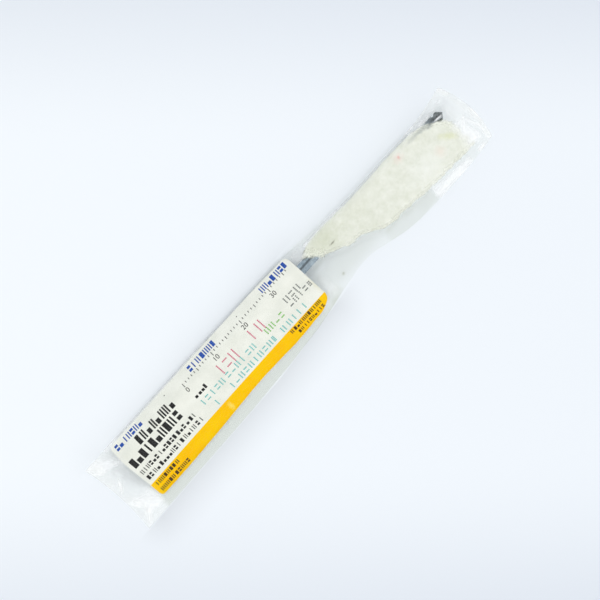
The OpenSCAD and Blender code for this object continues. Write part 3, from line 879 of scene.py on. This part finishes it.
# Middle of a ply in Y and Z: under the drill, round it and over it, down to the lower edge
def plyPath(s, level):
    axisY, axisZ = (rodLow.y + rodHigh.y) / 2, (rodLow.z + rodHigh.z) / 2
    wrap = (rodHigh.y - rodLow.y) / 2 + s["gap"] + s["ply"] / 2
    line = [(y, axisZ - wrap) for y in np.arange(s["baseEnd"], 2.01, 0.5)]
    for angle in np.radians(np.arange(-90, 106, 7.5)):
        line.append((axisY + wrap * math.cos(angle), axisZ + wrap * math.sin(angle)))
    line = np.array(line + s["rise"])
    # Even steps along the line, smoothed a little where the pieces of it join
    walked = walkedOver(np.linalg.norm(np.diff(line, axis=0), axis=1))
    even = np.linspace(0, walked[-1], 400)
    line = blur(np.column_stack([np.interp(even, walked, line[:, k]) for k in (0, 1)]), 5, 0)
    along = np.gradient(line, axis=0)
    outward = np.column_stack([along[:, 1], -along[:, 0]])
    outward /= np.linalg.norm(outward, axis=1)[:, None]
    return line + outward * s["step"] * level


# Height of a pressed ridge or crease, which tapers towards both ends of its line
def ridgeAt(x, y, line, halfWidth, height):
    pts = np.array(line, float)
    lengths = np.linalg.norm(np.diff(pts, axis=0), axis=1)
    best = np.full(x.shape, 1e9)
    place = np.zeros(x.shape)
    walked = 0.0
    for a, b, length in zip(pts[:-1], pts[1:], lengths):
        d = (b - a) / length
        t = np.clip((x - a[0]) * d[0] + (y - a[1]) * d[1], 0, length)
        away = np.hypot(x - a[0] - t * d[0], y - a[1] - t * d[1])
        nearer = away < best
        best = np.where(nearer, away, best)
        place = np.where(nearer, (walked + t) / lengths.sum(), place)
        walked += length
    taper = 0.35 + 0.65 * np.sin(math.pi * np.clip(place, 0.02, 0.98))
    slope = np.clip(1 - best / halfWidth, 0, 1)
    return height * taper * (0.6 * slope + 0.4 * slope * slope)


# Grid over a folded ply: its points, and how far each lies along the ply's path, from 0 to 1
def plyGrid(s, ply):
    path = plyPath(s, ply["level"])
    seed, count = ply["seed"], len(path)
    turn = np.argmax(path[:, 0])
    t = np.linspace(0, 1, ply["cols"])[None, :]
    u = np.linspace(0, 1, ply["rows"])[:, None]
    ragged = s["tear"] * noiseAt(t * 20, t * 0, 1.3, seed) + s["fibre"] * noiseAt(t * 60, t, 1, seed + 1)
    y = np.zeros((ply["rows"], ply["cols"]))
    # The back and front edges are cut back towards the fold, so x follows y, which follows x again
    for _ in range(3):
        upFold = ease(1.5 * (y - s["backFrom"]) / (s["foldY"] - s["backFrom"]))
        back = ply["back"] + ply["backSkew"] * (1 - upFold) - s["spread"]
        front = curveAt(s["frontEdge"], y) + ply["ahead"] + s["spread"]
        x = (back + ragged) * (1 - u) + (front - ragged[:, ::-1]) * u
        torn = 0.7 * s["tear"] * noiseAt(x, x * 0 + seed, 2.2, seed + 4)
        torn += s["fibre"] * noiseAt(2 * x, x * 0, 1, seed + 5)
        edge = curveAt(s["edge"], x) - ply["reach"] - s["spread"] + torn
        lower = np.interp(edge, path[:turn, 0], np.arange(turn))
        upper = np.interp(-edge, -path[turn:, 0], np.arange(turn, count))
        where = lower + (upper - lower) * t
        y = np.interp(where, np.arange(count), path[:, 0])
    z = np.interp(where, np.arange(count), path[:, 1])
    return np.stack([x, y, z], axis=2), where / count


# How far crumples, dents, crepe, the film's pull and pressed creases shift a ply along its normals
def plyShift(s, points, normal, place):
    x, y, z = np.moveaxis(points, 2, 0)
    across = place * s["girth"]
    facets = facetsAt(x, across, cell=3.4, seed=71)
    crumple = s["crumple"] * (facets * 0.6 + noiseAt(x, across, 2.6, 72) * 0.7)
    dents = -s["dent"] * np.maximum(0, noiseAt(x, across, 1.2, 73)) ** 1.5
    crepe = noiseAt(x, across, 0.8, 74) * 0.6 + noiseAt(x * 0.7 + across, across - x * 0.3, 0.45, 75) * 0.5
    onTop = ease((z - 1.0) / 0.5)
    shift = np.maximum((crumple + dents + s["crepe"] * crepe) * (0.25 + 0.75 * onTop), -s["inward"])
    shift += curveAt(s["bulge"], x) * np.maximum(normal[..., 1], 0)
    return shift + onTop * sum(ridgeAt(x, y, *crease) for crease in s["creases"])


def makePly(s, ply, material):
    points, place = plyGrid(s, ply)
    x = points[..., 0]
    normal = -gridNormals(points)
    points = points + normal * plyShift(s, points, normal, place)[..., None]
    half = normal * s["thickness"] / 2
    outer, inner = points + half, points - half
    for face, lowest in zip((inner, outer), s["lowest"]):
        face[..., 2] = np.maximum(face[..., 2], lowest)
    mesh, faces = closedSheet(outer, inner)
    # Way in from the nearest torn edge
    steps = np.linalg.norm(np.diff(points, axis=1), axis=2)
    walked = walkedOver(steps)
    fromEnds = s["endFade"] * np.minimum(x - x[0], x[-1] - x)
    inside = np.minimum(np.minimum(walked, walked[:, -1:] - walked), fromEnds)
    piece = makeMesh(ply["name"], mesh, faces, [material], "wadding", (ply["name"] + "_ply",),
                     masks={"torn": np.tile(inside.ravel(), 2)})


def makeWadding(s):
    material = waddingMaterial("creped_wadding", s)
    for ply in s["plies"]:
        makePly(s, ply, material)


makeWadding(waddingSettings)


# Clear sleeve: the front film lies over the contents, and is welded to the back film all round
sleeveSettings = dict(
    thickness=0.12, step=0.3, across=104, fine=260, spreadAcross=4, smoothAlong=3.0, smoothAcross=2.2,
    # Gaps over the contents: as formed, after smoothing, and at last, and the gap between the films
    formGap=0.06, smoothGap=0.05, lastGap=0.04, filmGap=0.03,
    # What lies inside, and the places along the sleeve that it slides through
    slides=dict(card_printed=(-1.5, 0, 0.8), drill_rod=(-0.8, 0, 1.2), wadding_inner=(-0.8, 0, 1.2),
                wadding_middle=(-0.8, 0, 1.2), wadding_outer=(-0.8, -0.3, 0, 0.5, 1.2)),
    # Lengths of the end welds, how far their outlines are drawn in and over what length, the middle and
    # half width of the tip weld, how far from the side edges the pocket rises, and the widest half width
    footWeld=2.8, tipWeld=1.4, footDraw=0.9, tipDraw=1.8, drawFrom=58, drawOver=4,
    tipMiddle=-0.2, tipHalf=9, weldSoft=0.6, sideOver=0.7, sideGain=1.6, widest=11,
    # Puckers: height, how far they reach into the pocket, and over what length they die away
    footPucker=(0.8, 1.8, 3.0), tipPucker=(0.5, 1.6, 2.4), cornerPucker=0.5, cornerFrom=7.5, cornerOver=2.5,
    # Crumples: height, where they begin at the foot, at the tip and on its side, and over what lengths
    crumple=0.4, footFrom=-53.5, tipFrom=54.5, tipBelow=5.5, endOver=4, belowOver=5,
    # cloud is how white the crumpled ends look, partly their haze and partly painted glare
    ripple=0.03, edgeOver=0.8, cloud=0.14,
    # Folds pressed into the film: line in plan, half width, height, whiteness (painted glare along the fold)
    folds=[
        ([(-62, 10), (-60.2, 9.4), (-58.2, 7.7), (-56.4, 6.4), (-54.9, 5.3)], 1.25, 0.75, 1),
        ([(-61.8, 8.6), (-60, 7.2), (-57.6, 6.5)], 1.1, 0.3, 0.6),
        ([(-58.4, 3.2), (-59.4, 1.7), (-60.5, 0.1)], 0.5, 0.35, 0.7),
        ([(-61.9, 4.4), (-60.8, 3)], 0.45, 0.2, 0.4),
        ([(-60.6, -2.4), (-58.8, -4.8), (-56.8, -6.4), (-55.8, -7.6)], 1.5, 0.6, 0.75),
        ([(-60.3, -8.4), (-58.6, -6.6), (-57, -5.6)], 1.2, 0.4, 0.6),
        ([(-61.7, -10), (-60.2, -8.2)], 0.7, 0.25, 0.45),
        ([(-57.9, 4.6), (-57.4, 2.6)], 0.4, 0.2, 0.3),
        ([(59.2, -0.9), (60, -3), (60.6, -5), (60.1, -8.7)], 0.55, 0.4, 0.7),
        ([(62, -0.4), (61.9, -2.6), (61.6, -4.6)], 0.5, 0.25, 0.8),
        ([(59.6, -0.3), (58.4, -1.5), (56.9, -3.2)], 0.45, 0.4, 0.6),
        ([(55.4, -0.5), (57, -0.9), (58.8, -0.6)], 0.7, 0.3, 0.5),
        ([(57.6, -6.2), (56.2, -5.6), (55, -6)], 0.9, 0.3, 0.5),
        ([(60, -8.9), (58.4, -7), (56.6, -6.8), (52, -6.7)], 0.4, -0.2, 0),
        ([(60.2, 8.2), (60.7, 7.8)], 0.35, 0.2, 0.7),
        ([(42.6, -8.4), (47, -8.5), (52.4, -8.55)], 1.2, 0.25, 0.6),
        ([(56.2, -1.6), (57.6, -4.4), (58.8, -5.8)], 1.5, 0.2, 0.3),
        ([(56.4, -8.6), (58.2, -8.7)], 0.5, 0.2, 0.5),
        ([(53.8, 3.66), (55.9, 3.38)], 0.3, 0.08, 1),
    ],
    # Soft patches of painted glare and of painted light over shadows, which make the film look white, and
    # soft patches of painted shadow, deeper in tone: corner to corner in plan, width of the soft border,
    # strength
    paintedLights=[
        (41.1, -9.9, 51, -6.9, 1.2, 0.5),
        (48, -9.9, 53.8, -7.6, 0.9, 0.45),
        (41.4, -9.2, 45.5, -6, 0.9, 0.3),
        (-60.2, -9.2, -54.4, -2.6, 1.8, 0.35),
        (-61.8, 5, -54.6, 10.4, 2.2, 0.1),
        (-56, 9.1, 8, 10.6, 0.5, 0.35),
        (55.8, -9.2, 58.6, -8.1, 0.5, 0.4),
        (53.8, -7.6, 60.4, -0.2, 2.6, 0.36),
        (6.6, -7.2, 10.4, 0.4, 1.8, 0.08),
        (6.8, 4.8, 11, 8.4, 1.2, 0.3),
        (11.5, 6.5, 50, 7.7, 0.4, 0.3),
        (50.2, 5.1, 54.2, 6.2, 0.5, 0.34),
        (9.6, 6.2, 13, 7.6, 0.8, 0.4),
        (46.5, 5, 62, 8.8, 1.2, 0.3),
        (56.6, -1, 62, 7, 1.4, 0.14),
    ],
    # Painted shadow beside and under the card, under the rod and along the wadding's lower edge, and last a
    # small dirt speck
    shadowsAndSpeck=[
        (-56, -11, 9, -6, 1.5, 0.42),
        (36, -9.6, 42, -5.8, 1, 0.25),
        (26, -11, 37, -4.4, 1, 0.17),
        (6.6, -6.2, 30, 1.4, 2.5, 0.16),
        (8.4, 0.5, 17, 2.5, 1.2, 0.35),
        (27, -6.2, 34, -4.4, 0.7, 0.16),
        (32.6, -7, 41.6, -5.2, 0.8, 0.15),
        (5.4, -8, 11, -4.2, 1.3, 0.25),
        # A small dirt speck on the film
        (12.55, -4.65, 13.4, -3.85, 0.3, 1.2),
    ],
)


# Sum of soft boxes in plan
def boxesAt(x, y, boxes):
    total = np.zeros(x.shape)
    for x0, y0, x1, y1, soft, strength in boxes:
        inside = ease((x - x0) / soft) * ease((x1 - x) / soft) * ease((y - y0) / soft) * ease((y1 - y) / soft)
        total = total + strength * inside
    return total


# The foot weld is drawn in between its corners, and the tip weld's corners are cut back
def drawnX(s, x, y):
    x, y = np.asarray(x), np.asarray(y)
    foot = s["footDraw"] * ease((-s["drawFrom"] - x) / s["drawOver"]) * (1 - (y / filmHigh.y) ** 2)
    aside = (np.abs(y - s["tipMiddle"]) / s["tipHalf"]) ** 2
    tip = s["tipDraw"] * ease((x - s["drawFrom"]) / s["drawOver"]) * aside
    return x + foot - tip


# Where the front film ends at a station, found by halving
def edgeOf(tree, s, station, sign):
    within, beyond = 0.0, sign * s["widest"]
    for _ in range(15):
        y = (within + beyond) / 2
        if hitBelow(tree, drawnX(s, station, y), y) is None:
            beyond = y
        else:
            within = y
    return within


# Top of the contents over all that they slide through, so that the film clears them
def sweptTop(contents, x, y):
    top = np.zeros(x.shape)
    for tree, moves in contents:
        for move in moves:
            top = np.maximum(top, castDown(tree, x - move, y))
    return top


# The height a gap above the contents, and the other height where none lie below
def clearOf(top, gap, other=0.0):
    return np.where(top > 0.05, top + gap, other)


# Highest value within some grid steps each way
def spreadMax(values, rows, cols):
    out = values
    for axis, reach in ((0, rows), (1, cols)):
        start = out
        for k in range(1, reach + 1):
            for shift in (-k, k):
                out = np.maximum(out, np.roll(start, shift, axis))
    return out


# 1 inside the end welds, 0 in the pocket, with soft borders of those widths
def weldShare(s, along, footSoft, tipSoft):
    foot = ease((filmLow.x + s["footWeld"] - along) / footSoft + 0.5)
    tip = ease((along - filmHigh.x + s["tipWeld"]) / tipSoft + 0.5)
    return np.maximum(foot, tip)


# Grid over the front film: its points, the contents' top below, the station of each point, and how far
# it lies from the film's lower and upper edge
def filmGrid(s, contents):
    tree = meshTree(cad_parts["front_film"].data)
    flat = 2 * s["thickness"]
    count = int(round((filmHigh.x - filmLow.x) / s["step"])) + 1
    stations = np.linspace(filmLow.x + 0.02, filmHigh.x - 0.02, count)[:, None]
    edges = [[edgeOf(tree, s, x, sign) for sign in (-1, 1)] for x in stations[:, 0]]
    lower, upper = np.split(blur(np.array(edges), 2, 0), 2, axis=1)
    y = lower + np.linspace(0, 1, s["fine"]) * (upper - lower)
    x = drawnX(s, np.repeat(stations, s["fine"], axis=1), y)
    top = spreadMax(sweptTop(contents, x, y), 1, s["spreadAcross"])

    # The end welds lie flat before they are puckered
    weld = weldShare(s, stations, s["weldSoft"], s["weldSoft"])
    z = castDown(tree, x, y, miss=flat) * (1 - weld) + flat * weld
    z = blur(blur(z, s["smoothAlong"], 0), s["smoothAcross"], 1)
    sideFade = ease((y - lower) / s["sideOver"]) * ease((upper - y) / s["sideOver"])
    z = flat + (z - flat) * np.clip(sideFade * s["sideGain"], 0, 1)
    z = np.maximum(z, blur(clearOf(top, s["formGap"] + s["thickness"]), 1.5, 0))
    z = np.maximum(blur(z, 1.0, 0), clearOf(top, s["smoothGap"] + s["thickness"]))

    # Even steps along each row, so that steep sides get as many points as flat ones
    walked = walkedOver(np.hypot(np.diff(y, axis=1), np.diff(z, axis=1)))
    walked = blur(walked / walked[:, -1:], 4, 0)
    fine, share = np.arange(s["fine"]), np.linspace(0, 1, s["across"])
    places = [np.interp(share, row, fine) for row in walked]
    x, y, z, top = (
        np.array([np.interp(place, fine, row) for place, row in zip(places, grid)]) for grid in (x, y, z, top)
    )
    return np.stack([x, y, z], axis=2), top, np.repeat(stations, s["across"], axis=1), y - lower, upper - y


# Puckers lift both films in the welds and die away inside the pocket
def puckerAt(s, x, y, along, fromLower):
    footHigh, footReach, footOver = s["footPucker"]
    tipHigh, tipReach, tipOver = s["tipPucker"]
    inFoot = ease((filmLow.x + s["footWeld"] + footReach - along) / footOver)
    inTip = ease((along - filmHigh.x + s["tipWeld"] + tipReach) / tipOver)
    corner = ease((np.abs(y) - s["cornerFrom"]) / s["cornerOver"])
    # The tip is calmer on the side of the drill
    calm = 1 - 0.75 * ease((y - 1) / 4)
    rise = 0.5 + 0.5 * facetsAt(x, y, cell=3.2, seed=45, stretch=1.5)
    pucker = rise * (footHigh * inFoot + tipHigh * inTip * calm) + s["cornerPucker"] * corner * inFoot
    return np.maximum(pucker * (ease(fromLower / 0.5) * 0.6 + 0.4), 0), inFoot, inTip


def makeSleeve(s):
    thick = s["thickness"]
    contents = [(meshTree(scene.objects[name].data), moves) for name, moves in s["slides"].items()]
    points, top, along, fromLower, fromUpper = filmGrid(s, contents)
    x, y, z = np.moveaxis(points, 2, 0)

    # Crumples in both ends, ripples all over, and folds
    atFoot = ease((s["footFrom"] - along) / s["endOver"])
    atTip = ease((along - s["tipFrom"]) / s["endOver"]) * ease((s["tipBelow"] - y) / s["belowOver"])
    facets = facetsAt(x, y, cell=3.4, seed=41, stretch=1.3)
    crumple = s["crumple"] * facets * np.maximum(atFoot, atTip * 0.8)
    ripple = s["ripple"] * (noiseAt(x, y * 2, 5, 43) + 0.5 * noiseAt(x, y * 1.5, 2.2, 44))
    folds = sum(ridgeAt(x, y, line, wide, high) for line, wide, high, _ in s["folds"])

    # Where the film gets its white layer, partly the haze of its crumpled ends and partly painted glare and
    # painted light, and where painted shadow makes it deeper in tone
    uneven = 0.85 + 0.3 * noiseAt(x, y * 1.4, 1.7, 46)
    whitened = sum(ridgeAt(x, y, line, wide * 1.15, white) for line, wide, _, white in s["folds"])
    cloud = s["cloud"] * (atFoot + atTip) * (1 + 0.6 * facets)
    hazeAndGlare = np.clip(cloud + whitened + uneven * boxesAt(x, y, s["paintedLights"]), 0, 1)
    shade = boxesAt(x, y, s["shadowsAndSpeck"])

    pucker, inFoot, inTip = puckerAt(s, x, y, along, fromLower)

    # None of this reaches down to the contents, wherever they have slid
    edgeHold = ease(fromLower / s["edgeOver"]) * ease(fromUpper / s["edgeOver"])
    room = 0.9 * np.maximum(z - thick - clearOf(top, s["lastGap"], thick + s["filmGap"]), 0)
    shift = np.maximum((crumple + ripple) * edgeHold, -room) * (1 - np.clip(inFoot + inTip, 0, 1) * 0.6)
    front = points + gridNormals(points) * shift[..., None]
    front[..., 2] += pucker + np.maximum(folds, -room) * (0.4 + 0.6 * edgeHold)
    front[..., 2] = np.maximum(front[..., 2], 2 * thick + 0.01)
    under = front - gridNormals(front) * thick
    least = clearOf(sweptTop(contents, under[..., 0], under[..., 1]), s["lastGap"])
    front[..., 2] += np.maximum(least - under[..., 2], 0)

    inWelds = weldShare(s, along, 1.2, 0.8)
    lift = pucker * np.clip(inFoot * 1.2 + inTip * 1.2 - 0.2, 0, 1) + folds * inWelds
    back = np.stack([x, y, thick + np.maximum(lift, 0)], axis=2)
    back[..., 2] = np.minimum(back[..., 2], front[..., 2] - thick)
    inner = front - gridNormals(front) * thick
    inner[..., 2] = np.maximum(inner[..., 2], back[..., 2])
    # The flat back film needs only every second point
    thin = (slice(None, None, 2), slice(None, None, 2))
    backHazeAndGlare = hazeAndGlare * (0.3 + 0.7 * inWelds)
    films = {
        "front_film": (inner, front, hazeAndGlare, shade),
        "back_film": (back[thin] - [0, 0, thick], back[thin], backHazeAndGlare[thin], shade[thin]),
    }
    material = filmMaterial("clear_film", filmLook)
    for node, (lowFace, highFace, *masks) in films.items():
        mesh, faces = closedSheet(lowFace, highFace)
        # The mask named crumple carries the white layer with its painted glare, and the mask named shade the
        # painted shadow
        masks = {label: np.tile(mask.ravel(), 2) for label, mask in zip(("crumple", "shade"), masks)}
        makeMesh(node + "_clear", mesh, faces, [material], "sleeve", (node,), sharpAngle=60,
                 masks=masks)


makeSleeve(sleeveSettings)
print("stage: sleeve")
